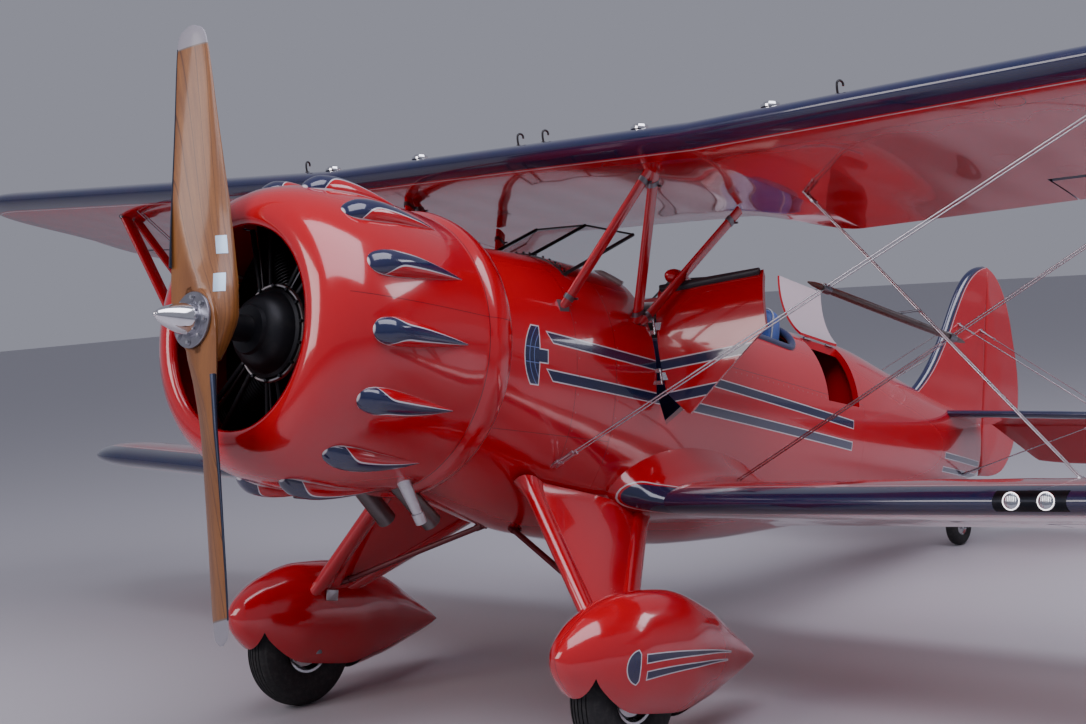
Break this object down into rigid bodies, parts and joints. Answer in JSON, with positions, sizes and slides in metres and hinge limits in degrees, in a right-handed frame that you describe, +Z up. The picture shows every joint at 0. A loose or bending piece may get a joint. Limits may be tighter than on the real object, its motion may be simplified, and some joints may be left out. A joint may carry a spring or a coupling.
{
  "type": "biplane",
  "caption": "Open-cockpit biplane with a cowled radial engine, wooden propeller, faired wheels, and a passenger door and baggage hatch standing open.",
  "frame": {"origin": "on the ground under the middle of the bounding box", "axes": "+X towards the nose, +Y to port along the wings, +Z up; the machine sits on its tail wheel, nose up by 11.8 degrees"},
  "size_m": [7.0614, 9.14, 3.0375],
  "materials": {
    "red_paint": "deep gloss",
    "red_fabric": "gloss dope over fabric",
    "varnished_wood": "gloss varnish over laminated wood",
    "polished_metal": "polished",
    "bare_metal": "satin",
    "dark_metal": "dark, heat stained",
    "dark_panel": "satin",
    "blue_leather": "satin",
    "clear_pane": "clear",
    "tyre": "matt"
  },
  "bodies": {
    "airframe": {"cowling": "red_paint", "engine_block": "dark_metal", "exhaust_outlets": "dark_metal", "forward_fuselage": "red_paint", "cockpit_deck": "red_paint", "left_cockpit_side": "red_paint", "right_cockpit_side": "red_paint", "cockpit_belly": "red_paint", "rear_fuselage": "red_paint", "cockpit_floor": "dark_panel", "front_instrument_panel": "dark_panel", "cockpit_bulkhead": "dark_panel", "baggage_bulkhead": "dark_panel", "front_seat_cushion": "blue_leather", "front_seat_back": "blue_leather", "rear_seat_cushion": "blue_leather", "rear_seat_back": "blue_leather", "front_windshield": "clear_pane", "rear_windshield": "clear_pane", "upper_centre_section": "red_fabric", "fin": "red_fabric", "tail_wheel_mount": "bare_metal", "left_upper_wing": "red_fabric", "right_upper_wing": "red_fabric", "left_lower_wing": "red_fabric", "right_lower_wing": "red_fabric", "left_wing_fillet": "red_paint", "right_wing_fillet": "red_paint", "left_cabane_struts": "red_paint", "right_cabane_struts": "red_paint", "left_interplane_strut": "red_paint", "right_interplane_strut": "red_paint", "left_wing_rigging": "bare_metal", "right_wing_rigging": "bare_metal", "left_gear_leg": "red_paint", "right_gear_leg": "red_paint", "left_gear_brace": "red_paint", "right_gear_brace": "red_paint", "left_wheel_pant": "red_paint", "right_wheel_pant": "red_paint", "left_stabilizer": "red_fabric", "right_stabilizer": "red_fabric"},
    "propeller": {"propeller_blades": "varnished_wood", "propeller_hub": "polished_metal"},
    "left_wheel": {"left_tyre": "tyre", "left_wheel_hub": "bare_metal"},
    "right_wheel": {"right_tyre": "tyre", "right_wheel_hub": "bare_metal"},
    "tail_fork": {"tail_fork": "dark_metal"},
    "tail_wheel": {"tail_wheel": "tyre"},
    "passenger_door": {"passenger_door": "red_paint"},
    "baggage_hatch": {"baggage_hatch": "red_paint"},
    "rudder": {"rudder": "red_fabric"},
    "elevators": {"left_elevator": "red_fabric", "right_elevator": "red_fabric"},
    "left_upper_aileron": {"left_upper_aileron": "red_fabric"},
    "right_upper_aileron": {"right_upper_aileron": "red_fabric"},
    "left_lower_aileron": {"left_lower_aileron": "red_fabric"},
    "right_lower_aileron": {"right_lower_aileron": "red_fabric"}
  },
  "joints": [
    {"name": "propeller_spin", "type": "hinge", "parent": "airframe", "child": "propeller", "pos_m": [3.35075, 0, 1.881], "axis": [0.9789, 0, 0.2045], "continuous": true},
    {"name": "left_wheel_spin", "type": "hinge", "parent": "airframe", "child": "left_wheel", "pos_m": [2.14157, 0.98, 0.285], "axis": [0, 1, 0], "continuous": true},
    {"name": "right_wheel_spin", "type": "hinge", "parent": "airframe", "child": "right_wheel", "pos_m": [2.14157, -0.98, 0.285], "axis": [0, 1, 0], "continuous": true},
    {"name": "tail_wheel_swivel", "type": "hinge", "parent": "airframe", "child": "tail_fork", "pos_m": [-2.50517, 0, 0.125], "axis": [0, 0, 1], "continuous": true},
    {"name": "tail_wheel_spin", "type": "hinge", "parent": "tail_fork", "child": "tail_wheel", "pos_m": [-2.56517, 0, 0.125], "axis": [0, 1, 0], "continuous": true},
    {"name": "passenger_door_hinge", "type": "hinge", "parent": "airframe", "child": "passenger_door", "pos_m": [1.19768, 0.557, 1.38012], "axis": [-0.1985, -0.2401, 0.9502], "range_deg": [0, 80]},
    {"name": "baggage_hatch_hinge", "type": "hinge", "parent": "airframe", "child": "baggage_hatch", "pos_m": [-0.51426, 0.205, 1.5061], "axis": [-0.9669, 0, -0.255], "range_deg": [0, 178]},
    {"name": "rudder_hinge", "type": "hinge", "parent": "airframe", "child": "rudder", "pos_m": [-2.85885, 0, 0.43051], "axis": [-0.2045, 0, 0.9789], "range_deg": [-25, 25]},
    {"name": "elevator_hinge", "type": "hinge", "parent": "airframe", "child": "elevators", "pos_m": [-2.81336, 0, 0.77509], "axis": [0, 1, 0], "range_deg": [0, 60]},
    {"name": "left_upper_aileron_hinge", "type": "hinge", "parent": "airframe", "child": "left_upper_aileron", "pos_m": [0.56132, 2.15, 2.22568], "axis": [-0.0096, 0.9989, 0.0461], "range_deg": [-20, 20]},
    {"name": "right_upper_aileron_hinge", "type": "hinge", "parent": "airframe", "child": "right_upper_aileron", "pos_m": [0.56132, -2.15, 2.22568], "axis": [0.0096, 0.9989, -0.0461], "range_deg": [-20, 20]},
    {"name": "left_lower_aileron_hinge", "type": "hinge", "parent": "airframe", "child": "left_lower_aileron", "pos_m": [0.22228, 1.9, 0.7189], "axis": [-0.0078, 0.9993, 0.0376], "range_deg": [-20, 20]},
    {"name": "right_lower_aileron_hinge", "type": "hinge", "parent": "airframe", "child": "right_lower_aileron", "pos_m": [0.22228, -1.9, 0.7189], "axis": [0.0078, 0.9993, -0.0376], "range_deg": [-20, 20]}
  ],
  "couplings": [
    {"joint": "right_upper_aileron_hinge", "follows": "left_upper_aileron_hinge", "ratio": -1},
    {"joint": "left_lower_aileron_hinge", "follows": "left_upper_aileron_hinge", "ratio": 1},
    {"joint": "right_lower_aileron_hinge", "follows": "left_upper_aileron_hinge", "ratio": -1}
  ]
}
